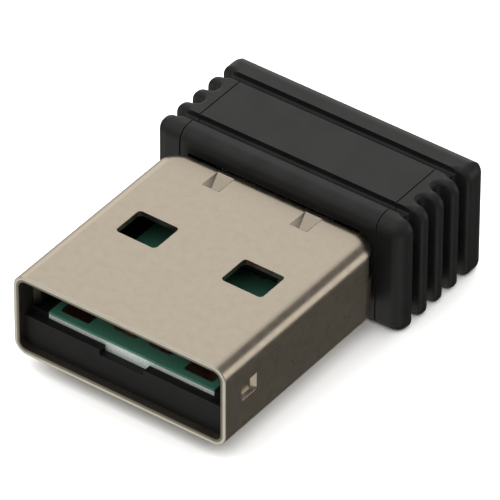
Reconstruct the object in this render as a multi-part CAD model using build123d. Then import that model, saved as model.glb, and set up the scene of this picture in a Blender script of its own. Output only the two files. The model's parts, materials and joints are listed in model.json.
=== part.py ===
from build123d import *
import os

# USB Wi-Fi adapter (nano type). Millimetres.
# Frame: the origin is the middle of the plug's mouth. +Y runs from the mouth back into the cap,
# +Z points up out of the side with the open contacts, and X runs across the width.

# ---------------------------------------------------------------- driving dimensions
PLUG_WIDTH = 12.0
PLUG_HEIGHT = 4.5
SHEET = 0.3
EDGE_RADIUS = 0.7
PLUG_LENGTH = 12.1
REAR_CORNER_RADIUS = 1.3

CAP_WIDTH = 14.2
CAP_HEIGHT = 6.16
CAP_DEPTH = 6.75
CAP_WALL = 0.85
RIB_PITCH = 1.22
CHANNEL_WIDTH = 0.64
CHANNEL_DEPTH = 0.9
CHANNEL_COUNT = 4
FIRST_CHANNEL_INSET = 1.29

BOARD_THICKNESS = 0.8
BOARD_SET_BACK = 0.93
TONGUE_WIDTH = 9.4
TRAY_SET_BACK = 0.4

COPPER = 0.035
FIT_GAP = 0.04
OVERCUT = 0.05
FAR = 20.0

# ---------------------------------------------------------------- derived sizes
half_plug = PLUG_WIDTH / 2
half_height = PLUG_HEIGHT / 2
inner_half_width = half_plug - SHEET
inner_half_height = half_height - SHEET
cap_front = PLUG_LENGTH + 0.02
cap_back = cap_front + CAP_DEPTH
cap_top = CAP_HEIGHT / 2
board_top = 0.0
board_bottom = board_top - BOARD_THICKNESS
copper_top = board_top + COPPER


def slab(x, y, z):
    """A box between two limits on each axis."""
    size = [high - low for low, high in (x, y, z)]
    middle = [(high + low) / 2 for low, high in (x, y, z)]
    return Pos(*middle) * Box(*size)


def both_sides(shape):
    """The shape and its mirror image across the middle of the width."""
    return [shape, mirror(shape, about=Plane.YZ)]


def solid_from_corners(corners, faces):
    """A flat-faced solid from named corner points and the corners of each face."""
    sides = [Face(Wire.make_polygon([corners[name] for name in face])) for face in faces]
    return Solid(Shell(sides))


def keep(name, shape):
    """Write one node of the assembly to its own file."""
    solids = shape if isinstance(shape, list) else [shape]
    body = Compound(children=[s for item in solids for s in item.solids()])
    body.label = name
    export_step(body, f"parts/{name}.step")


# ---------------------------------------------------------------- plug shell
WINDOW_WIDTH = 2.3
WINDOW_CENTRE_X = 3.0
WINDOW_FRONT = 5.22
WINDOW_BACK = 7.1
WINDOW_RADIUS = 0.22
DIMPLE_CENTRE_X = 2.5
DIMPLE_FRONT = 10.35
DIMPLE_BACK = 11.58
DIMPLE_DEPTH = 0.42
DIMPLE_MARGIN = 0.1
SIDE_DIMPLE_Y = (1.2, 2.38)
SIDE_DIMPLE_Z = (-0.22, 0.8)
SIDE_DIMPLE_FLOOR_Y = (1.5, 2.15)
SIDE_DIMPLE_FLOOR_Z = (-0.15, 0.45)
SIDE_DIMPLE_CORNER = 0.12
SIDE_DIMPLE_DEPTH = 0.23
SIDE_DIMPLE_MARGIN = 0.12
SIDE_NOTCH_FRONT = 11.05
SIDE_NOTCH_Z = (0.35, 1.7)
REAR_OPENING_HALF_WIDTH = 4.95
REAR_OPENING_Z = 1.6
TAB_HALF_WIDTH = 3.0
TAB_BACK = 15.6
CATCH_Y = (13.5, 14.5)
CATCH_HALF_WIDTH = 1.0
LEG_Y = (14.1, 14.9)
RIM_ROUND = 0.04
SEAM_GAP = 0.05
SEAM_DEPTH = 0.12
SEAM_FRONT = 0.4


def rounded_cup(half_width, back, half_z, plan_radius, edge_radius):
    """A box open towards -Y whose rear corners and long edges are rounded."""
    front = -1.0
    body = slab((-half_width, half_width), (front, back), (-half_z, half_z))
    rear_edges = body.edges().filter_by(Axis.Z).sort_by(Axis.Y)[-2:]
    body = fillet(rear_edges, plan_radius)
    rims = [e for e in body.edges() if abs(abs(e.center().Z) - half_z) < 1e-6]
    rims = [e for e in rims if e.center().Y > front + 1e-6]
    return fillet(rims, edge_radius)


def window_cutters():
    """Four square windows: two in the top plate and two in the bottom plate."""
    middle = (WINDOW_FRONT + WINDOW_BACK) / 2
    outline = RectangleRounded(WINDOW_WIDTH, WINDOW_BACK - WINDOW_FRONT, WINDOW_RADIUS)
    cutters = []
    for x in (-WINDOW_CENTRE_X, WINDOW_CENTRE_X):
        for plate in (inner_half_height, -half_height):
            cutters.append(Pos(x, middle, plate - OVERCUT) * extrude(outline, SHEET + 2 * OVERCUT))
    return cutters


def top_dimple(drop, grow):
    """The wedge pressed into the top plate: deep at its front, level at its back."""
    front_half = 0.49 + grow
    back_half = 0.47 + grow
    floor_half = 0.12 + grow
    floor_front = DIMPLE_FRONT + 0.03 - grow
    corners = {
        "front_left": (-front_half, DIMPLE_FRONT - grow, 0),
        "front_right": (front_half, DIMPLE_FRONT - grow, 0),
        "back_right": (back_half, DIMPLE_BACK + grow, 0),
        "back_left": (-back_half, DIMPLE_BACK + grow, 0),
        "floor_left": (-floor_half, floor_front, -DIMPLE_DEPTH),
        "floor_right": (floor_half, floor_front, -DIMPLE_DEPTH),
    }
    faces = [
        ("front_left", "front_right", "back_right", "back_left"),
        ("front_left", "front_right", "floor_right", "floor_left"),
        ("front_left", "floor_left", "back_left"),
        ("front_right", "back_right", "floor_right"),
        ("floor_left", "floor_right", "back_right", "back_left"),
    ]
    return Pos(0, 0, half_height - drop) * solid_from_corners(corners, faces)


def side_dimple_outline(x, y_range, z_range, grow):
    """A rounded rectangle standing at that x, with all its sides pushed out a little."""
    plane = Plane(origin=(x, sum(y_range) / 2, sum(z_range) / 2), x_dir=(0, 1, 0), z_dir=(-1, 0, 0))
    width = y_range[1] - y_range[0] + 2 * grow
    height = z_range[1] - z_range[0] + 2 * grow
    return plane * RectangleRounded(width, height, SIDE_DIMPLE_CORNER)


def side_dimple(shift, grow):
    """The pocket pressed into the +X side wall: steep at its foot and sloping elsewhere."""
    face = half_plug - shift
    mouth = side_dimple_outline(face, SIDE_DIMPLE_Y, SIDE_DIMPLE_Z, grow)
    floor = side_dimple_outline(
        face - SIDE_DIMPLE_DEPTH, SIDE_DIMPLE_FLOOR_Y, SIDE_DIMPLE_FLOOR_Z, grow
    )
    return loft([mouth, floor])


def seam_cutter():
    """The line of the folded sheet's butt seam along the underside, with one dovetail."""
    front = SEAM_FRONT
    back = FAR
    key_front, key_back = 8.0, 9.8
    key_depth = 0.9
    key_flare = 0.3
    path = Polyline(
        (0, front),
        (0, key_front + key_flare),
        (-key_depth, key_front),
        (-key_depth, key_back),
        (0, key_back - key_flare),
        (0, back),
    )
    slit = extrude(trace(path, SEAM_GAP), SHEET + SEAM_DEPTH)
    return Pos(0, 0, -half_height - SHEET) * slit


def plug_shell():
    """The stamped steel shell of the plug, with tabs that hold it in the cap."""
    outer = rounded_cup(half_plug, PLUG_LENGTH, half_height, REAR_CORNER_RADIUS, EDGE_RADIUS)
    inner = rounded_cup(
        inner_half_width,
        PLUG_LENGTH - SHEET,
        inner_half_height,
        REAR_CORNER_RADIUS - SHEET,
        EDGE_RADIUS - SHEET,
    )
    mouth_trim = slab((-FAR, FAR), (-FAR, 0), (-FAR, FAR))
    shell = outer - inner - mouth_trim
    rim = [e for e in shell.edges() if abs(e.center().Y) < 1e-6 and abs(e.bounding_box().size.Y) < 1e-6]
    shell = fillet(rim, RIM_ROUND)
    shell = shell - slab(
        (-REAR_OPENING_HALF_WIDTH, REAR_OPENING_HALF_WIDTH),
        (PLUG_LENGTH - REAR_CORNER_RADIUS / 2, FAR),
        (-REAR_OPENING_Z, REAR_OPENING_Z),
    )
    for x in (-DIMPLE_CENTRE_X, DIMPLE_CENTRE_X):
        shell = shell + Pos(x, 0, 0) * top_dimple(SHEET, DIMPLE_MARGIN)
        shell = shell - Pos(x, 0, 0) * top_dimple(0, 0)
    swellings = both_sides(side_dimple(SHEET, SIDE_DIMPLE_MARGIN))
    for swelling, pocket in zip(swellings, both_sides(side_dimple(0, 0))):
        shell = shell + swelling
        shell = shell - pocket
    for cutter in window_cutters():
        shell = shell - cutter
    notch = slab((REAR_OPENING_HALF_WIDTH - OVERCUT, FAR), (SIDE_NOTCH_FRONT, FAR), SIDE_NOTCH_Z)
    for cutter in both_sides(notch):
        shell = shell - cutter
    for side in (1, -1):
        tab_z = sorted((side * REAR_OPENING_Z, side * (REAR_OPENING_Z + SHEET)))
        tab = slab((-TAB_HALF_WIDTH, TAB_HALF_WIDTH), (PLUG_LENGTH - SHEET, TAB_BACK), tab_z)
        catch_hole = slab((-CATCH_HALF_WIDTH, CATCH_HALF_WIDTH), CATCH_Y, (-FAR, FAR))
        shell = shell + (tab - catch_hole)
    shell = shell - seam_cutter()
    leg = slab((TAB_HALF_WIDTH - SHEET, TAB_HALF_WIDTH), LEG_Y, (-REAR_OPENING_Z - SHEET, board_bottom))
    for upright in both_sides(leg):
        shell = shell + upright
    return shell


# ---------------------------------------------------------------- cap
FRONT_CORNER_RADIUS = 0.66
BACK_CORNER_RADIUS = 0.75
CHANNEL_MOUTH_ROUND = 0.25
GROOVE_DEPTH = 0.35
GROOVE_WIDTH = 0.6
GROOVE_FLOOR_ROUND = 0.12
TOP_ROUND = 0.65
UNDER_ROUND = 0.4
BACK_ROLL = 0.85
CAVITY_HALF_WIDTH = 5.15
CAVITY_HALF_HEIGHT = 2.0
PARTING_LINE_X = 5.6
PARTING_LINE_WIDTH = 0.09
PARTING_LINE_DEPTH = 0.06
CATCH_CLEARANCE = 0.1
CATCH_RAMP = 0.25
RAIL_INNER_X = 4.75
RAIL_FRONT = 3.0
RAIL_THICKNESS = 0.41


def channel_centres():
    """How far back the middle of each side channel lies."""
    return [cap_front + FIRST_CHANNEL_INSET + RIB_PITCH * n for n in range(CHANNEL_COUNT)]


def rounded_block():
    """The outside of the cap before its channels: all edges rounded, the back edges the most."""
    half = CAP_WIDTH / 2
    middle = (cap_front + cap_back) / 2
    body = slab((-half, half), (cap_front, cap_back), (-cap_top, cap_top))
    front_corners = [e for e in body.edges().filter_by(Axis.Z) if e.center().Y < middle]
    body = fillet(front_corners, FRONT_CORNER_RADIUS)
    back_corners = [e for e in body.edges().filter_by(Axis.Z) if e.center().Y > middle]
    body = fillet(back_corners, BACK_CORNER_RADIUS)
    body = fillet(body.faces().sort_by(Axis.Z)[-1].edges(), TOP_ROUND)
    body = fillet(body.faces().sort_by(Axis.Z)[0].edges(), UNDER_ROUND)
    roll = slab((-CAP_WIDTH, CAP_WIDTH), (0, cap_back), (-cap_top, cap_top))
    back_edges = roll.edges().filter_by(Axis.X).sort_by(Axis.Y)[-2:]
    return body & fillet(back_edges, BACK_ROLL)


def channel(y):
    """The round-bottomed upright channel cut into the +X end at that distance back."""
    floor_x = CAP_WIDTH / 2 - CHANNEL_DEPTH + CHANNEL_WIDTH / 2
    sides = (y - CHANNEL_WIDTH / 2, y + CHANNEL_WIDTH / 2)
    floor = Pos(floor_x, y, 0) * Cylinder(CHANNEL_WIDTH / 2, CAP_HEIGHT * 2)
    return floor + slab((floor_x, FAR), sides, (-CAP_HEIGHT, CAP_HEIGHT))


def channel_mouth_edges(body):
    """The edges where the channels' walls meet the outside of the cap."""
    half = CAP_WIDTH / 2
    nearly = 1e-3
    found = []
    for edge in body.edges():
        point = edge @ 0.5
        in_channel = any(abs(point.Y - y) < CHANNEL_WIDTH / 2 + nearly for y in channel_centres())
        past_floor = abs(point.X) > half - CHANNEL_DEPTH - nearly
        on_outside = abs(point.Z) > cap_top - TOP_ROUND - nearly or abs(point.X) > half - nearly
        if in_channel and past_floor and on_outside:
            found.append(edge)
    return found


def ribbed_block():
    """The rounded block with channels cut into both ends, so that rounded ribs are left."""
    body = rounded_block()
    for y in channel_centres():
        for cutter in both_sides(channel(y)):
            body = body - cutter
    return fillet(channel_mouth_edges(body), CHANNEL_MOUTH_ROUND)


def parting_floor(inset):
    """A long block with rounded edges that lies that far below the cap's top, front and underside."""
    top = cap_top - inset
    front = cap_front + inset
    body = slab((-CAP_WIDTH, CAP_WIDTH), (front, cap_back), (-top, top))
    for z, radius in ((top, TOP_ROUND), (-top, UNDER_ROUND)):
        edges = body.edges().filter_by(Axis.X)
        edges = [e for e in edges if abs(e.center().Y - front) + abs(e.center().Z - z) < 1e-6]
        body = fillet(edges, radius)
    return body


def cross_grooves():
    """The grooves across the top and underside that run into the first and last channels."""
    centres = channel_centres()
    grooves = []
    for y in (centres[0], centres[-1]):
        sides = (y - GROOVE_WIDTH / 2, y + GROOVE_WIDTH / 2)
        groove = slab((-CAP_WIDTH, CAP_WIDTH), sides, (-GROOVE_DEPTH, GROOVE_DEPTH))
        groove = fillet(groove.edges().filter_by(Axis.X), GROOVE_FLOOR_ROUND)
        grooves += [Pos(0, 0, cap_top) * groove, Pos(0, 0, -cap_top) * groove]
    return grooves


def parting_lines():
    """The fine lines left where the side cores of the mould meet, one near each end of the cap."""
    x_range = (PARTING_LINE_X - PARTING_LINE_WIDTH / 2, PARTING_LINE_X + PARTING_LINE_WIDTH / 2)
    floor = parting_floor(PARTING_LINE_DEPTH)
    for groove in cross_grooves():
        side = 1 if groove.center().Z > 0 else -1
        floor = floor - Pos(0, 0, -side * PARTING_LINE_DEPTH) * groove
    line = slab(x_range, (0, channel_centres()[-1]), (-CAP_HEIGHT, CAP_HEIGHT)) - floor
    return both_sides(line)


def cap():
    """The moulded cap, hollow from the front, with catches and rails that hold the board."""
    body = ribbed_block()
    for cutter in cross_grooves() + parting_lines():
        body = body - cutter
    body = body - slab(
        (-CAVITY_HALF_WIDTH, CAVITY_HALF_WIDTH),
        (0, cap_back - CAP_WALL),
        (-CAVITY_HALF_HEIGHT, CAVITY_HALF_HEIGHT),
    )
    catch = slab(
        (-CATCH_HALF_WIDTH + CATCH_CLEARANCE, CATCH_HALF_WIDTH - CATCH_CLEARANCE),
        (CATCH_Y[0] + CATCH_CLEARANCE, CATCH_Y[1] - CATCH_CLEARANCE),
        (REAR_OPENING_Z + CATCH_CLEARANCE, CAVITY_HALF_HEIGHT),
    )
    catch = chamfer(catch.faces().sort_by(Axis.Z)[0].edges().sort_by(Axis.Y)[0], CATCH_RAMP)
    rail_x = (RAIL_INNER_X, CAVITY_HALF_WIDTH)
    rail_y = (cap_front + RAIL_FRONT, cap_back - CAP_WALL)
    over = board_top + FIT_GAP
    under = board_bottom - FIT_GAP
    over_rail = slab(rail_x, rail_y, (over, over + RAIL_THICKNESS))
    under_rail = slab(rail_x, rail_y, (under - RAIL_THICKNESS, under))
    body = body + catch + mirror(catch, about=Plane.XY)
    for rail in both_sides(over_rail) + both_sides(under_rail):
        body = body + rail
    return body


# ---------------------------------------------------------------- contact tray
TRAY_BACK = 10.9
LIP_TOP = -0.3
LIP_THICKNESS = 0.45
LIP_NOTCH_X = (-1.42, 1.1)
LIP_NOTCH_FLOOR = -0.62
SIDE_RAIL_TOP = -0.06
SIDE_RAIL_INNER = TONGUE_WIDTH / 2 + FIT_GAP
POCKET_FRONTS = (2.0, 5.2, 8.4)
POCKET_LENGTH = 2.4
POCKET_HALF_WIDTH = 4.0
POCKET_DEPTH = 0.7
DIMPLE_CLEARANCE = 0.25
LATCH_SIDE_GAP = 0.1
LATCH_RISE = 0.2
LATCH_RAMP = 0.15


def contact_tray():
    """The black plastic tray that carries the board's tongue at the height the socket needs."""
    half_width = inner_half_width - FIT_GAP
    floor = -inner_half_height
    y_range = (TRAY_SET_BACK, TRAY_BACK)
    tray = slab((-half_width, half_width), y_range, (floor, SIDE_RAIL_TOP))
    under_edges = tray.edges().filter_by(Axis.Y).sort_by(Axis.Z)[:2]
    tray = fillet(under_edges, EDGE_RADIUS - SHEET + 0.05)
    lip_back = TRAY_SET_BACK + LIP_THICKNESS
    tray = tray - slab((-FAR, FAR), (0, lip_back), (LIP_TOP, FAR))
    tray = tray - slab(LIP_NOTCH_X, (0, lip_back), (LIP_NOTCH_FLOOR, FAR))
    bed = slab((-SIDE_RAIL_INNER, SIDE_RAIL_INNER), (lip_back, FAR), (board_bottom, FAR))
    tray = tray - bed
    for front in POCKET_FRONTS:
        pocket_z = (board_bottom - POCKET_DEPTH, FAR)
        pocket_y = (front, front + POCKET_LENGTH)
        tray = tray - slab((-POCKET_HALF_WIDTH, POCKET_HALF_WIDTH), pocket_y, pocket_z)
    clearance = slab(
        (half_plug - SHEET - SIDE_DIMPLE_DEPTH - DIMPLE_CLEARANCE, FAR),
        (SIDE_DIMPLE_Y[0] - DIMPLE_CLEARANCE, SIDE_DIMPLE_Y[1] + DIMPLE_CLEARANCE),
        (SIDE_DIMPLE_Z[0] - DIMPLE_CLEARANCE, FAR),
    )
    for cutter in both_sides(clearance):
        tray = tray - cutter
    latch_half = WINDOW_WIDTH / 2 - LATCH_SIDE_GAP
    latch = slab(
        (WINDOW_CENTRE_X - latch_half, WINDOW_CENTRE_X + latch_half),
        (WINDOW_FRONT + LATCH_SIDE_GAP, WINDOW_BACK - LATCH_SIDE_GAP),
        (floor - LATCH_RISE, floor + OVERCUT),
    )
    latch = chamfer(latch.faces().sort_by(Axis.Z)[0].edges().sort_by(Axis.Y)[-1], LATCH_RAMP)
    for peg in both_sides(latch):
        tray = tray + peg
    return tray


# ---------------------------------------------------------------- circuit board and its copper
BOARD_WIDE_FRONT = 13.0
BOARD_BACK = 17.7
BOARD_WIDE_WIDTH = 10.1
PAD_BACK = 7.2
OUTER_PAD = {"x": 3.5, "width": 1.6, "front": 1.28}
INNER_PAD = {"x": 1.0, "width": 1.3, "front": 1.7}
TRACK = 0.35
FEED_FRONT = 15.3
VIA_RADIUS = 0.15
VIA_PLACES = [(2.9, 7.5), (2.9, 7.9), (2.1, 15.1), (4.2, 15.1)]
BOARD_CORNER_RADIUS = 0.3
PAD_CORNER_RADIUS = 0.12
TEST_PAD_COUNT = 5
TEST_PAD_PITCH = 1.0
TEST_PAD_RADIUS = 0.35
TEST_PAD_Y = 16.6
LAND_X = (2.1, 3.6)
LAND_Y = (13.7, 15.3)
JOINT_HEIGHT = 0.4
JOINT_FOOT = (0.95, 1.4)
JOINT_TIP = (0.4, 0.92)


def circuit_board():
    """The bare board: a tongue for the plug and a wider head for the radio, with via holes."""
    tongue = slab(
        (-TONGUE_WIDTH / 2, TONGUE_WIDTH / 2), (BOARD_SET_BACK, BOARD_BACK), (board_bottom, board_top)
    )
    head = slab(
        (-BOARD_WIDE_WIDTH / 2, BOARD_WIDE_WIDTH / 2),
        (BOARD_WIDE_FRONT, BOARD_BACK),
        (board_bottom, board_top),
    )
    head = fillet(head.edges().filter_by(Axis.Z), BOARD_CORNER_RADIUS)
    board = tongue + head
    for x, y in VIA_PLACES:
        via = Pos(x, y, board_bottom / 2) * Cylinder(VIA_RADIUS, BOARD_THICKNESS * 2)
        for hole in both_sides(via):
            board = board - hole
    return board


def contact(pad, side):
    """One gold-plated contact strip on the tongue."""
    middle = side * pad["x"]
    half = pad["width"] / 2
    strip = slab((middle - half, middle + half), (pad["front"], PAD_BACK), (board_top, copper_top))
    return fillet(strip.edges().filter_by(Axis.Z), PAD_CORNER_RADIUS)


def printed_antenna():
    """A meandered copper track along the back of the board, with its feed and ground stubs."""
    z = (board_top, copper_top)
    near, far = 15.75, 17.3
    turns = 8
    step = 1.1
    left = -step * turns / 2
    track = slab((left - TRACK, left), (near, far), z)
    for n in range(turns):
        x = left + step * n
        y = far if n % 2 == 0 else near
        track = track + slab((x - TRACK, x + step), (y - TRACK / 2, y + TRACK / 2), z)
        track = track + slab((x + step - TRACK, x + step), (near - TRACK / 2, far + TRACK / 2), z)
    feed = slab((left + 4 * step - TRACK, left + 4 * step), (FEED_FRONT, near), z)
    return track + feed


def disc(x, y, z, radius, height):
    """A short upright cylinder whose underside is at z."""
    return Pos(x, y, z + height / 2) * Cylinder(radius, height)


def test_pads():
    """Round copper pads on the underside that a factory fixture touches."""
    first = -TEST_PAD_PITCH * (TEST_PAD_COUNT - 1) / 2
    places = [first + TEST_PAD_PITCH * n for n in range(TEST_PAD_COUNT)]
    return [disc(x, TEST_PAD_Y, board_bottom - COPPER, TEST_PAD_RADIUS, COPPER) for x in places]


def leg_slot():
    """The space that one of the shell's legs takes up."""
    return slab((TAB_HALF_WIDTH - SHEET, TAB_HALF_WIDTH), LEG_Y, (-half_height, board_bottom))


def ground_lands():
    """The two copper lands that the shell's legs are soldered to."""
    land = slab(LAND_X, LAND_Y, (board_bottom - COPPER, board_bottom))
    return both_sides(land - leg_slot())


def shell_solder_joints():
    """A pyramid of solder round each shell leg."""
    base = board_bottom - COPPER
    centre_x = TAB_HALF_WIDTH - SHEET / 2
    centre_y = sum(LEG_Y) / 2
    wide = Pos(centre_x, centre_y, base) * RectangleRounded(*JOINT_FOOT, 0.2)
    narrow = Pos(centre_x, centre_y, base - JOINT_HEIGHT) * RectangleRounded(*JOINT_TIP, 0.04)
    return both_sides(loft([wide, narrow]) - leg_slot())


# ---------------------------------------------------------------- electronics
CHIP_SIZE = 5.0
CHIP_HEIGHT = 0.85
CHIP_CENTRE = (0.0, 11.2)
CHIP_STANDOFF = 0.05
LEADS_PER_SIDE = 10
LEAD_PITCH = 0.4
LEAD_SIZE = (0.2, 0.4)

SMALL_CHIP = (1.0, 0.5, 0.5)
LARGE_CHIP = (1.6, 0.8, 0.8)
SOLDER_REACH = 0.14

# Where each small component sits: across, back, and whether it lies along X or along Y.
DECOUPLING_PLACES = [
    (-3.9, 14.0, "x"),
    (3.9, 14.1, "x"),
    (-1.9, 7.7, "x"),
    (-1.9, 8.35, "x"),
    (2.9, 15.0, "x"),
]
CRYSTAL_LOAD_PLACES = [(-3.75, 11.8, "x"), (-3.75, 12.5, "x")]
RESISTOR_PLACES = [(-0.75, 7.9, "y"), (0.0, 7.9, "y"), (-2.9, 14.9, "x")]
MATCHING_CAPACITOR_PLACES = [(0.0, 14.6, "y"), (1.0, 14.6, "y")]
MATCHING_INDUCTOR_PLACES = [(-1.0, 14.6, "y")]
BULK_PLACES = [(3.7, 11.4, "x"), (3.7, 12.5, "x")]
BEAD_PLACES = [(3.7, 8.55, "x")]


def wifi_chip():
    """The radio's square leadless package, with the small dish that marks its first lead."""
    base = copper_top + CHIP_STANDOFF
    body = Pos(*CHIP_CENTRE, base + CHIP_HEIGHT / 2) * Box(CHIP_SIZE, CHIP_SIZE, CHIP_HEIGHT)
    body = chamfer(body.faces().sort_by(Axis.Z)[-1].edges(), 0.04)
    dish_x = CHIP_CENTRE[0] - CHIP_SIZE / 2 + 0.6
    dish_y = CHIP_CENTRE[1] - CHIP_SIZE / 2 + 0.6
    return body - disc(dish_x, dish_y, base + CHIP_HEIGHT - 0.04, 0.25, 0.1)


def wifi_chip_solder():
    """The solder under the package: a row along each side and one pad in the middle."""
    height = CHIP_STANDOFF + COPPER
    x0, y0 = CHIP_CENTRE
    pad = Pos(x0, y0, board_top + height / 2) * Box(3.3, 3.3, height)
    lands = [pad]
    reach = CHIP_SIZE / 2 - 0.1
    for n in range(LEADS_PER_SIDE):
        along = (n - (LEADS_PER_SIDE - 1) / 2) * LEAD_PITCH
        for side in (1, -1):
            upright = Box(LEAD_SIZE[0], LEAD_SIZE[1], height)
            level = Box(LEAD_SIZE[1], LEAD_SIZE[0], height)
            lands.append(Pos(x0 + along, y0 + side * reach, board_top + height / 2) * upright)
            lands.append(Pos(x0 + side * reach, y0 + along, board_top + height / 2) * level)
    return lands


def chip_part(size, place, rounding):
    """The body of a small two-ended component that lies along X or along Y."""
    x, y, way = place
    length, width, height = size
    body = Box(length, width, height) if way == "x" else Box(width, length, height)
    body = fillet(body.edges(), rounding)
    return Pos(x, y, copper_top + height / 2) * body


def chip_ends(size, place):
    """The two solder joints at the ends of a small component."""
    x, y, way = place
    length, width, height = size
    joints = []
    for side in (1, -1):
        rise = height * 0.6
        foot = Polyline((0, 0), (SOLDER_REACH, 0), (0, rise), close=True)
        profile = make_face(Plane.XZ * foot)
        wedge = extrude(profile, width / 2, both=True)
        wedge = Pos(length / 2, 0, 0) * wedge
        if side < 0:
            wedge = mirror(wedge, about=Plane.YZ)
        if way == "y":
            wedge = Rot(0, 0, 90) * wedge
        joints.append(Pos(x, y, board_top) * wedge)
    return joints


def chip_group(size, places, rounding=0.05):
    """Every component of one kind."""
    return [chip_part(size, place, rounding) for place in places]


def component_solder_joints():
    """The solder joints of all the small components."""
    small = DECOUPLING_PLACES + CRYSTAL_LOAD_PLACES + RESISTOR_PLACES
    small = small + MATCHING_CAPACITOR_PLACES + MATCHING_INDUCTOR_PLACES
    large = BULK_PLACES + BEAD_PLACES
    joints = [joint for place in small for joint in chip_ends(SMALL_CHIP, place)]
    return joints + [joint for place in large for joint in chip_ends(LARGE_CHIP, place)]


CRYSTAL_CENTRE = (-3.65, 10.2)
CRYSTAL_SIZE = (1.6, 2.0)
CRYSTAL_BASE_HEIGHT = 0.35
CRYSTAL_LID_HEIGHT = 0.15
INDUCTOR_CENTRE = (3.65, 10.05)
INDUCTOR_SIZE = (1.7, 1.5, 0.95)


def crystal_base():
    """The ceramic tub of the clock crystal."""
    width, length = CRYSTAL_SIZE
    tub = Box(width, length, CRYSTAL_BASE_HEIGHT)
    tub = fillet(tub.edges().filter_by(Axis.Z), 0.1)
    return Pos(*CRYSTAL_CENTRE, copper_top + CRYSTAL_BASE_HEIGHT / 2) * tub


def crystal_lid():
    """The metal lid seam-welded on the crystal's tub."""
    width, length = CRYSTAL_SIZE
    lid = Box(width - 0.16, length - 0.16, CRYSTAL_LID_HEIGHT)
    lid = fillet(lid.edges().filter_by(Axis.Z), 0.12)
    lid = fillet(lid.faces().sort_by(Axis.Z)[-1].edges(), 0.04)
    base = copper_top + CRYSTAL_BASE_HEIGHT
    return Pos(*CRYSTAL_CENTRE, base + CRYSTAL_LID_HEIGHT / 2) * lid


def power_inductor():
    """The moulded inductor of the chip's switching regulator."""
    width, length, height = INDUCTOR_SIZE
    body = Box(width, length, height)
    body = fillet(body.edges(), 0.08)
    return Pos(*INDUCTOR_CENTRE, copper_top + height / 2) * body


# ---------------------------------------------------------------- the assembly
def main():
    os.makedirs("parts", exist_ok=True)
    keep("plug_shell", plug_shell())
    keep("cap", cap())
    keep("contact_tray", contact_tray())
    keep("circuit_board", circuit_board())
    keep("contact_power", contact(OUTER_PAD, 1))
    keep("contact_data_minus", contact(INNER_PAD, 1))
    keep("contact_data_plus", contact(INNER_PAD, -1))
    keep("contact_ground", contact(OUTER_PAD, -1))
    keep("printed_antenna", printed_antenna())
    keep("test_pads", test_pads())
    keep("ground_lands", ground_lands())
    keep("shell_solder_joints", shell_solder_joints())
    keep("wifi_chip", wifi_chip())
    keep("wifi_chip_solder", wifi_chip_solder())
    keep("crystal_base", crystal_base())
    keep("crystal_lid", crystal_lid())
    keep("power_inductor", power_inductor())
    keep("ferrite_bead", chip_group(LARGE_CHIP, BEAD_PLACES))
    keep("bulk_capacitors", chip_group(LARGE_CHIP, BULK_PLACES))
    keep("decoupling_capacitors", chip_group(SMALL_CHIP, DECOUPLING_PLACES))
    keep("crystal_load_capacitors", chip_group(SMALL_CHIP, CRYSTAL_LOAD_PLACES))
    keep("matching_capacitors", chip_group(SMALL_CHIP, MATCHING_CAPACITOR_PLACES))
    keep("matching_inductor", chip_group(SMALL_CHIP, MATCHING_INDUCTOR_PLACES))
    keep("resistors", chip_group(SMALL_CHIP, RESISTOR_PLACES))
    keep("component_solder_joints", component_solder_joints())


main()
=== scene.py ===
import json
import math

import bpy
from mathutils import Matrix, Vector


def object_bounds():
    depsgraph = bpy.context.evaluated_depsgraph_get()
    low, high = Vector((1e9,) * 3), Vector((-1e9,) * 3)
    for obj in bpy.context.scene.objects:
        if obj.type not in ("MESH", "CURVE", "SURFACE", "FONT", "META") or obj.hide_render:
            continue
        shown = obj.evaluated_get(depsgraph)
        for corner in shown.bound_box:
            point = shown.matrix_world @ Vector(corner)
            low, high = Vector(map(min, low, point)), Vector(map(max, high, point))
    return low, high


# A nano USB Wi-Fi adapter. Metres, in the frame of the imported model: the origin is the middle of
# the plug's mouth, +Y runs back into the cap and +Z points up.

MM = 0.001

# ---------------------------------------------------------------- the camera
CAMERA_AZIMUTH = 36.224
CAMERA_ELEVATION = 38.4715
CAMERA_ROLL = 0.178
CAMERA_DISTANCE = 331.457 * MM
CAMERA_TARGET = Vector((1.1706, 8.4139, 1.5801)) * MM
CAMERA_LENS = 521.99
SENSOR_WIDTH = 36.0
CAMERA_NEAR = 10 * MM
CAMERA_FAR = 5.0

# ---------------------------------------------------------------- the light
# The room is dim, a little paler above than below. The two heights are where the change between
# them starts and ends, as the sine of the elevation.
ROOM_BELOW = (0.083, 0.082, 0.077)
ROOM_ABOVE = (0.16, 0.158, 0.152)
ROOM_FADE = (-0.3, 0.5)

# A few soft glows are added to it. Each has an azimuth and an elevation, how far its even middle and
# its faded rim reach from its centre, all in degrees, and the light that it adds.
GLOWS = {
    "behind": (219, 36, 17, 36, (0.55, 0.545, 0.53)),
    "far_horizon": (214, 2, 18, 34, (0.54, 0.535, 0.51)),
    "high_left": (264, 66, 12, 32, (0.34, 0.34, 0.33)),
    "right": (130, 7, 13, 24, (0.85, 0.84, 0.8)),
    "low_front_left": (-36, -38, 18, 44, (0.62, 0.61, 0.57)),
    "low_front_right": (44, -38, 14, 28, (0.6, 0.6, 0.57)),
    "high_front_left": (-36, 40, 18, 44, (0.52, 0.52, 0.51)),
}

# A broad light from overhead, only for what is not mirrored.
WASH_STRENGTH = 5.6
WASH_ANGLE = 130.0
WASH_AZIMUTH = 219.0
WASH_ELEVATION = 74.0

# ---------------------------------------------------------------- the floor
FLOOR_COLOUR = (0.92, 0.92, 0.915)
FLOOR_SHADE = 0.99
FLOOR_CLOUD_MM = 60.0
FLOOR_ROUGHNESS = 0.9
FLOOR_HALF_WIDTH = 400 * MM
FLOOR_GAP = 0.02 * MM

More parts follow.
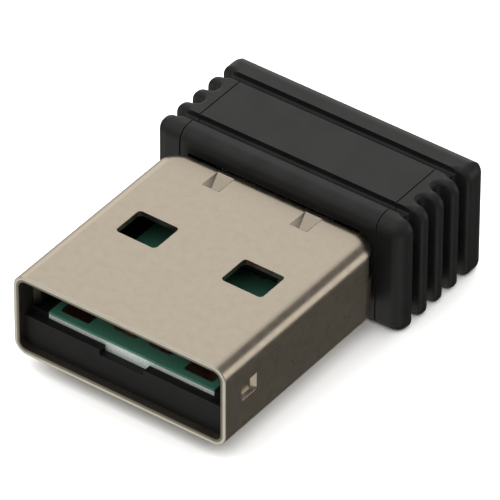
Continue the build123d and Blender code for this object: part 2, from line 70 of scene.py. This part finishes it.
# ---------------------------------------------------------------- the steel shell, in millimetres
SHELL_HALF_WIDTH = 6.0
SHELL_HALF_HEIGHT = 2.25
SHELL_CORNER = 0.7

# Where a change in the steel's look starts and where it is complete: how far back the cut edge of
# the mouth reaches, how deep into the sheet its bright band goes, which is partly a painted highlight,
# how deep the inner surface lies, which is painted darker as shade, and how far forward the wedges
# pressed into the top begin, which are deep but not inside and so not shaded.
CUT_EDGE_Y = (0.1, 0.02)
BRIGHT_BAND_DEPTH = (0.13, 0.19)
INNER_SURFACE_DEPTH = (0.26, 0.31)
BEFORE_WEDGES_Y = (10.3, 10.1)

STEEL_DARK = (0.63, 0.545, 0.443)
STEEL_LIGHT = (0.67, 0.585, 0.482)
# Paler rubbed edges, partly wear and partly a painted highlight along the sharp edges.
STEEL_RUBBED_AND_HIGHLIGHT = (0.86, 0.84, 0.79)
# The bright band of the sheared cut edge, brighter than the steel: partly burnished, partly a painted
# highlight.
STEEL_SHEARED_HIGHLIGHT = (0.83, 0.79, 0.69)
STEEL_SHEARED_DULL = (0.3, 0.27, 0.23)
# Painted shade: the colour of the inside of the plug, much darker than the outside.
STEEL_INSIDE_SHADE = (0.25, 0.22, 0.18)
STEEL_TONE_NOISE = (0.35, 0.68)
STEEL_ROUGHNESS = (0.27, 0.36)
STEEL_RUBBED_AND_HIGHLIGHT_TINT = 0.6
STEEL_RUBBED_SMOOTHER = 0.06
STEEL_CUT_ROUGHER = 0.12
STEEL_INSIDE_ROUGHER = 0.2

# ---------------------------------------------------------------- the other materials
PLASTIC_REFRACTION = 1.33
PLASTIC_RUBBED = (0.03, 0.029, 0.028)
PLASTIC_RUBBED_TINT = 0.5
FIRED_WORN_TINT = 0.3
MASK_DARK = (0.042, 0.145, 0.1)
MASK_LIGHT = (0.06, 0.19, 0.13)
FIBRE_DARK = (0.48, 0.52, 0.49)
FIBRE_LIGHT = (0.58, 0.62, 0.59)
MASK_ROUGHNESS = 0.5
FIBRE_ROUGHNESS = 0.75

# The solder mask ends between these heights on the board's edges, in millimetres. A face is an
# edge where its normal's upright part is small.
MASK_END_Z = (-0.11, -0.17)
UPRIGHT_NORMAL = (0.7, 0.3)

# The stretch of a noise's values over which a tone changes, and over which a roughness does.
TONE_NOISE = (0.35, 0.65)
ROUGHNESS_NOISE = (0.3, 0.7)

# How far the softened normal turns from the face's own where wear starts and where it is complete,
# as the cosine of the turn.
WEAR_TURN = (0.995, 0.85)
BEVEL_SAMPLES = 6

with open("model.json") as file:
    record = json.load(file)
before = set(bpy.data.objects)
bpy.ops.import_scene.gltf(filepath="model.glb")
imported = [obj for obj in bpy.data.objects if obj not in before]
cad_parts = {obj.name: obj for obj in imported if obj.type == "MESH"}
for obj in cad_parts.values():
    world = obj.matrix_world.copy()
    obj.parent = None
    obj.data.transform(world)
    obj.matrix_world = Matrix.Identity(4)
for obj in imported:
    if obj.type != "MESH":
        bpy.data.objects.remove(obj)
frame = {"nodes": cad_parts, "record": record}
nodes = frame["nodes"]
cad_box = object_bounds()


# ---------------------------------------------------------------- helpers for shader nodes
class Shader:
    """A material under construction, with short calls for the nodes that the materials share."""

    def __init__(self, name):
        self.material = bpy.data.materials.new(name)
        self.material.use_nodes = True
        self.tree = self.material.node_tree
        self.surface = self.tree.nodes["Principled BSDF"]
        coordinates = self.add("ShaderNodeTexCoord")
        self.position = coordinates.outputs["Object"]

    def add(self, kind, **settings):
        """A node of that kind, with its properties set."""
        node = self.tree.nodes.new(kind)
        for key, value in settings.items():
            setattr(node, key, value)
        return node

    def link(self, source, target):
        """Join an output to an input."""
        self.tree.links.new(source, target)

    def set(self, **values):
        """Set sockets of the main shader that are the same all over the surface."""
        for key, value in values.items():
            self.surface.inputs[key].default_value = value

    def noise(self, size_mm, detail, roughness=0.55, stretch=(1, 1, 1)):
        """A value that varies over blotches of about that size."""
        mapping = self.add("ShaderNodeMapping")
        mapping.inputs["Scale"].default_value = stretch
        self.link(self.position, mapping.inputs["Vector"])
        noise = self.add("ShaderNodeTexNoise")
        noise.inputs["Scale"].default_value = 1 / (size_mm * MM)
        noise.inputs["Detail"].default_value = detail
        noise.inputs["Roughness"].default_value = roughness
        self.link(mapping.outputs["Vector"], noise.inputs["Vector"])
        return noise.outputs["Fac"]

    def axis(self, name):
        """One coordinate of the position, in millimetres."""
        separate = self.add("ShaderNodeSeparateXYZ")
        self.link(self.position, separate.inputs[0])
        return self.math("MULTIPLY", separate.outputs[name], 1 / MM)

    def math(self, operation, a, b=0.0):
        """One arithmetic step on values or outputs."""
        node = self.add("ShaderNodeMath", operation=operation)
        for socket, value in zip(node.inputs, (a, b)):
            if isinstance(value, (int, float)):
                socket.default_value = value
            else:
                self.link(value, socket)
        return node.outputs[0]

    def span(self, value, low, high, out_low=0.0, out_high=1.0):
        """The value carried from one range to another, smoothly and without overshoot."""
        node = self.add("ShaderNodeMapRange", interpolation_type="SMOOTHSTEP")
        node.inputs["From Min"].default_value = low
        node.inputs["From Max"].default_value = high
        node.inputs["To Min"].default_value = out_low
        node.inputs["To Max"].default_value = out_high
        self.link(value, node.inputs["Value"])
        return node.outputs["Result"]

    def blend(self, amount, first, second):
        """A colour that goes from the first to the second as the amount rises."""
        node = self.add("ShaderNodeMix", data_type="RGBA")
        self.link(amount, node.inputs["Factor"])
        for socket, colour in ((node.inputs["A"], first), (node.inputs["B"], second)):
            if isinstance(colour, tuple):
                socket.default_value = (*colour, 1.0)
            else:
                self.link(colour, socket)
        return node.outputs["Result"]

    def softened(self, radius_mm):
        """The surface's normal as if its edges were rounded by that radius."""
        bevel = self.add("ShaderNodeBevel", samples=BEVEL_SAMPLES)
        bevel.inputs["Radius"].default_value = radius_mm * MM
        return bevel.outputs["Normal"]

    def edge_wear(self, radius_mm):
        """How far a point is on a sharp outer edge, from 0 to 1."""
        geometry = self.add("ShaderNodeNewGeometry")
        across = self.add("ShaderNodeVectorMath", operation="DOT_PRODUCT")
        self.link(self.softened(radius_mm), across.inputs[0])
        self.link(geometry.outputs["Normal"], across.inputs[1])
        return self.span(across.outputs["Value"], *WEAR_TURN)

    def relief(self, height, depth_mm, strength, previous=None):
        """A bump of that depth, laid on top of an earlier one if there is one."""
        bump = self.add("ShaderNodeBump")
        bump.inputs["Strength"].default_value = strength
        bump.inputs["Distance"].default_value = depth_mm * MM
        self.link(height, bump.inputs["Height"])
        if previous is not None:
            self.link(previous, bump.inputs["Normal"])
        return bump.outputs["Normal"]

    def colour(self, source):
        """Let that output decide the base colour."""
        self.link(source, self.surface.inputs["Base Color"])

    def roughness(self, source):
        """Let that output decide the roughness."""
        self.link(source, self.surface.inputs["Roughness"])

    def normal(self, source):
        """Let that output decide the normal."""
        self.link(source, self.surface.inputs["Normal"])


# ---------------------------------------------------------------- materials
def shell_depth(s):
    """How far a point lies in from the shell's outer outline, in millimetres."""
    past_side = s.math("SUBTRACT", s.math("ABSOLUTE", s.axis("X")), SHELL_HALF_WIDTH - SHELL_CORNER)
    past_top = s.math("SUBTRACT", s.math("ABSOLUTE", s.axis("Z")), SHELL_HALF_HEIGHT - SHELL_CORNER)
    side = s.math("MAXIMUM", past_side, 0.0)
    top = s.math("MAXIMUM", past_top, 0.0)
    squares = s.math("ADD", s.math("MULTIPLY", side, side), s.math("MULTIPLY", top, top))
    return s.math("SUBTRACT", SHELL_CORNER, s.math("SQRT", squares))


def shell_steel(name):
    """Nickel-plated stamped steel: warm grey, satin, faintly mottled and finely grained.

    The cut edge of the mouth has the bright and the dull band of sheared sheet, the bright one
    also a painted highlight. The sharp edges are paler, partly rubbed and partly a painted
    highlight. The inside of the plug is duller and is painted darker as shade.
    """
    s = Shader(name)
    s.set(Metallic=1.0)
    mottle = s.noise(size_mm=0.45, detail=5.0, roughness=0.6)
    grain = s.noise(size_mm=0.06, detail=3.0, roughness=0.7)
    depth = shell_depth(s)
    worn = s.edge_wear(radius_mm=0.06)
    cut_edge = s.span(s.axis("Y"), *CUT_EDGE_Y)
    before_wedges = s.span(s.axis("Y"), *BEFORE_WEDGES_Y)
    # The inside of the plug, which is painted darker as shade and made rougher.
    inside = s.math("MULTIPLY", s.span(depth, *INNER_SURFACE_DEPTH), before_wedges)

    tone = s.blend(s.span(mottle, *STEEL_TONE_NOISE), STEEL_DARK, STEEL_LIGHT)
    # Sharp edges turn paler: rubbed wear, and a painted highlight.
    rubbed_and_highlight = s.blend(s.math("MULTIPLY", worn, STEEL_RUBBED_AND_HIGHLIGHT_TINT), tone, STEEL_RUBBED_AND_HIGHLIGHT)
    # The cut edge's bright band, partly a painted highlight, and its dull band further in.
    sheared_and_highlight = s.blend(s.span(depth, *BRIGHT_BAND_DEPTH), STEEL_SHEARED_HIGHLIGHT, STEEL_SHEARED_DULL)
    outside = s.blend(cut_edge, rubbed_and_highlight, sheared_and_highlight)
    # Painted shade over the inside of the plug.
    s.colour(s.blend(inside, outside, STEEL_INSIDE_SHADE))

    rough = s.span(mottle, *ROUGHNESS_NOISE, *STEEL_ROUGHNESS)
    smoother = s.math("MULTIPLY", worn, STEEL_RUBBED_SMOOTHER)
    cut_rougher = s.math("MULTIPLY", cut_edge, STEEL_CUT_ROUGHER)
    inside_rougher = s.math("MULTIPLY", inside, STEEL_INSIDE_ROUGHER)
    outside_rough = s.math("ADD", s.math("SUBTRACT", rough, smoother), cut_rougher)
    s.roughness(s.math("ADD", outside_rough, inside_rougher))

    fine = s.relief(grain, depth_mm=0.0004, strength=0.2, previous=s.softened(radius_mm=0.05))
    s.normal(s.relief(mottle, depth_mm=0.0013, strength=0.2, previous=fine))
    return s.material


def moulded_black(name, dark, light, rough, grain_mm):
    """Black moulded plastic with the fine texture of its tool and paler, rubbed edges."""
    s = Shader(name)
    s.set(IOR=PLASTIC_REFRACTION)
    cloud = s.noise(size_mm=1.6, detail=3.0)
    grain = s.noise(grain_mm, detail=2.0, roughness=0.6)
    worn = s.edge_wear(radius_mm=0.07)
    tone = s.blend(s.span(cloud, *TONE_NOISE), dark, light)
    s.colour(s.blend(s.math("MULTIPLY", worn, PLASTIC_RUBBED_TINT), tone, PLASTIC_RUBBED))
    s.roughness(s.span(cloud, *ROUGHNESS_NOISE, *rough))
    s.normal(s.relief(grain, depth_mm=0.004, strength=0.55))
    return s.material


def board_laminate(name):
    """Green solder mask, glossier than the fibre, which shows pale on the routed edges."""
    s = Shader(name)
    geometry = s.add("ShaderNodeNewGeometry")
    separate = s.add("ShaderNodeSeparateXYZ")
    s.link(geometry.outputs["Normal"], separate.inputs[0])
    upright = s.math("ABSOLUTE", separate.outputs["Z"])
    routed = s.span(upright, *UPRIGHT_NORMAL)
    below_mask = s.span(s.axis("Z"), *MASK_END_Z)
    edge = s.math("MULTIPLY", routed, below_mask)
    weave = s.noise(size_mm=0.12, detail=3.0, stretch=(1.0, 2.2, 1.0))
    mask = s.blend(s.span(weave, *TONE_NOISE), MASK_DARK, MASK_LIGHT)
    fibre = s.blend(s.span(weave, *TONE_NOISE), FIBRE_DARK, FIBRE_LIGHT)
    s.colour(s.blend(edge, mask, fibre))
    s.roughness(s.span(edge, 0.0, 1.0, MASK_ROUGHNESS, FIBRE_ROUGHNESS))
    s.normal(s.relief(weave, depth_mm=0.004, strength=0.35))
    return s.material


def metal(name, dark, light, rough, size_mm):
    """A small metal piece: its colour and its roughness drift over fine blotches."""
    s = Shader(name)
    s.set(Metallic=1.0)
    blotch = s.noise(size_mm, detail=5.0, roughness=0.6)
    s.colour(s.blend(s.span(blotch, *TONE_NOISE), dark, light))
    s.roughness(s.span(blotch, *ROUGHNESS_NOISE, *rough))
    s.normal(s.relief(blotch, depth_mm=0.0015, strength=0.3))
    return s.material


def fired_body(name, dark, light, rough, size_mm):
    """The body of a small component: speckled, with its edges a little paler."""
    s = Shader(name)
    speckle = s.noise(size_mm, detail=4.0, roughness=0.7)
    worn = s.edge_wear(radius_mm=0.03)
    tone = s.blend(s.span(speckle, *TONE_NOISE), dark, light)
    s.colour(s.blend(s.math("MULTIPLY", worn, FIRED_WORN_TINT), tone, light))
    s.roughness(s.span(speckle, *ROUGHNESS_NOISE, *rough))
    s.normal(s.relief(speckle, depth_mm=0.004, strength=0.5))
    return s.material


def floor_paint(name):
    """The plain pale surface that the adapter stands on."""
    s = Shader(name)
    cloud = s.noise(FLOOR_CLOUD_MM, detail=2.0)
    low = tuple(value * FLOOR_SHADE for value in FLOOR_COLOUR)
    s.colour(s.blend(cloud, low, FLOOR_COLOUR))
    s.set(Roughness=FLOOR_ROUGHNESS)
    return s.material


# What makes the material of each slot, and, where several slots share it, the dark and the light
# tone, the lowest and the highest roughness, and the size of the pattern in millimetres.
LOOKS = {
    "shell_steel": (shell_steel,),
    "cap_plastic": (moulded_black, (0.009, 0.009, 0.009), (0.0115, 0.0115, 0.0115), (0.34, 0.42), 0.09),
    "tray_plastic": (moulded_black, (0.004, 0.004, 0.0043), (0.0055, 0.0055, 0.0058), (0.5, 0.6), 0.1),
    "board_laminate": (board_laminate,),
    "contact_gold": (metal, (0.28, 0.16, 0.12), (0.36, 0.21, 0.15), (0.38, 0.5), 0.5),
    "board_copper": (metal, (0.35, 0.18, 0.09), (0.5, 0.28, 0.15), (0.3, 0.42), 0.25),
    "solder": (metal, (0.45, 0.45, 0.46), (0.68, 0.68, 0.69), (0.22, 0.38), 0.15),
    "chip_epoxy": (fired_body, (0.012, 0.012, 0.013), (0.022, 0.022, 0.023), (0.5, 0.66), 0.05),
    "component_ceramic": (fired_body, (0.42, 0.38, 0.3), (0.55, 0.5, 0.4), (0.5, 0.65), 0.07),
    "crystal_lid_metal": (metal, (0.55, 0.53, 0.48), (0.7, 0.68, 0.62), (0.24, 0.36), 0.2),
    "inductor_ferrite": (fired_body, (0.06, 0.06, 0.065), (0.12, 0.12, 0.125), (0.55, 0.7), 0.06),
    "capacitor_ceramic": (fired_body, (0.34, 0.24, 0.14), (0.46, 0.34, 0.21), (0.4, 0.55), 0.06),
    "resistor_film": (fired_body, (0.015, 0.015, 0.018), (0.03, 0.03, 0.035), (0.3, 0.45), 0.06),
}


def dress_nodes():
    """Give every CAD node the material that its record slot asks for."""
    made = {slot: make(slot, *values) for slot, (make, *values) in LOOKS.items()}
    for piece in frame["record"]["subparts"]:
        node = nodes[piece["node"]]
        node.data.materials.clear()
        node.data.materials.append(made[piece["material_slot"]])


# ---------------------------------------------------------------- the stage
def direction(azimuth, elevation):
    """The unit vector towards that compass direction: azimuth 0 is -Y and 90 is +X."""
    a = math.radians(azimuth)
    e = math.radians(elevation)
    return Vector((math.sin(a) * math.cos(e), -math.cos(a) * math.cos(e), math.sin(e)))


def facing(position, target, roll=0.0):
    """The placing of something at that position that looks at the target."""
    back = (position - target).normalized()
    right = Vector((0, 0, 1)).cross(back).normalized()
    up = back.cross(right)
    turned = Matrix((right, up, back)).transposed().to_4x4()
    return Matrix.Translation(position) @ turned @ Matrix.Rotation(math.radians(roll), 4, "Z")


def add_camera():
    """The camera, at the angle of the view that the adapter is shown from."""
    data = bpy.data.cameras.new("camera")
    data.lens = CAMERA_LENS
    data.sensor_width = SENSOR_WIDTH
    data.clip_start = CAMERA_NEAR
    data.clip_end = CAMERA_FAR
    data.dof.use_dof = False
    camera = bpy.data.objects.new("camera", data)
    position = CAMERA_TARGET + direction(CAMERA_AZIMUTH, CAMERA_ELEVATION) * CAMERA_DISTANCE
    camera.matrix_world = facing(position, CAMERA_TARGET, CAMERA_ROLL)
    bpy.context.scene.collection.objects.link(camera)
    bpy.context.scene.camera = camera


def add_wash():
    """A broad light from overhead for the floor, kept out of the reflections."""
    data = bpy.data.lights.new("wash", "SUN")
    data.energy = WASH_STRENGTH
    data.angle = math.radians(WASH_ANGLE)
    wash = bpy.data.objects.new("wash", data)
    wash.visible_glossy = False
    wash.matrix_world = facing(direction(WASH_AZIMUTH, WASH_ELEVATION), Vector((0, 0, 0)))
    bpy.context.scene.collection.objects.link(wash)


def add_world():
    """The room: a dim gradient from below to above, with the soft glows added to it."""
    world = bpy.data.worlds.new("room")
    world.use_nodes = True
    world.cycles.sampling_method = "NONE"
    tree = world.node_tree

    def node(kind, **settings):
        """A node of that kind, with its properties set."""
        made = tree.nodes.new(kind)
        for key, value in settings.items():
            setattr(made, key, value)
        return made

    def fade(value, low, high):
        """0 below the low value, 1 above the high one and smooth between them."""
        ramp = node("ShaderNodeMapRange", interpolation_type="SMOOTHSTEP")
        ramp.inputs["From Min"].default_value = low
        ramp.inputs["From Max"].default_value = high
        tree.links.new(value, ramp.inputs["Value"])
        return ramp.outputs["Result"]

    looking = node("ShaderNodeTexCoord").outputs["Generated"]
    height = node("ShaderNodeSeparateXYZ")
    tree.links.new(looking, height.inputs[0])
    room = node("ShaderNodeMix", data_type="RGBA")
    tree.links.new(fade(height.outputs["Z"], *ROOM_FADE), room.inputs["Factor"])
    room.inputs["A"].default_value = (*ROOM_BELOW, 1.0)
    room.inputs["B"].default_value = (*ROOM_ABOVE, 1.0)
    total = room.outputs["Result"]
    for azimuth, elevation, middle, rim, light in GLOWS.values():
        towards = node("ShaderNodeVectorMath", operation="DOT_PRODUCT")
        tree.links.new(looking, towards.inputs[0])
        towards.inputs[1].default_value = direction(azimuth, elevation)
        rim_cosine = math.cos(math.radians(rim))
        middle_cosine = math.cos(math.radians(middle))
        amount = fade(towards.outputs["Value"], rim_cosine, middle_cosine)
        added = node("ShaderNodeMix", data_type="RGBA", blend_type="ADD")
        tree.links.new(amount, added.inputs["Factor"])
        tree.links.new(total, added.inputs["A"])
        added.inputs["B"].default_value = (*light, 1.0)
        total = added.outputs["Result"]
    tree.links.new(total, tree.nodes["Background"].inputs["Color"])
    bpy.context.scene.world = world


def add_floor():
    """The floor, a hair below the lowest point of the CAD model."""
    half = FLOOR_HALF_WIDTH
    low = cad_box[0][2] - FLOOR_GAP
    corners = [(-half, -half, low), (half, -half, low), (half, half, low), (-half, half, low)]
    mesh = bpy.data.meshes.new("floor")
    mesh.from_pydata(corners, [], [(0, 1, 2, 3)])
    mesh.materials.append(floor_paint("floor_paint"))
    floor = bpy.data.objects.new("floor", mesh)
    bpy.context.scene.collection.objects.link(floor)
    floor.visible_glossy = False


dress_nodes()
add_floor()
add_world()
add_wash()
add_camera()
bpy.context.scene.view_settings.view_transform = "Standard"
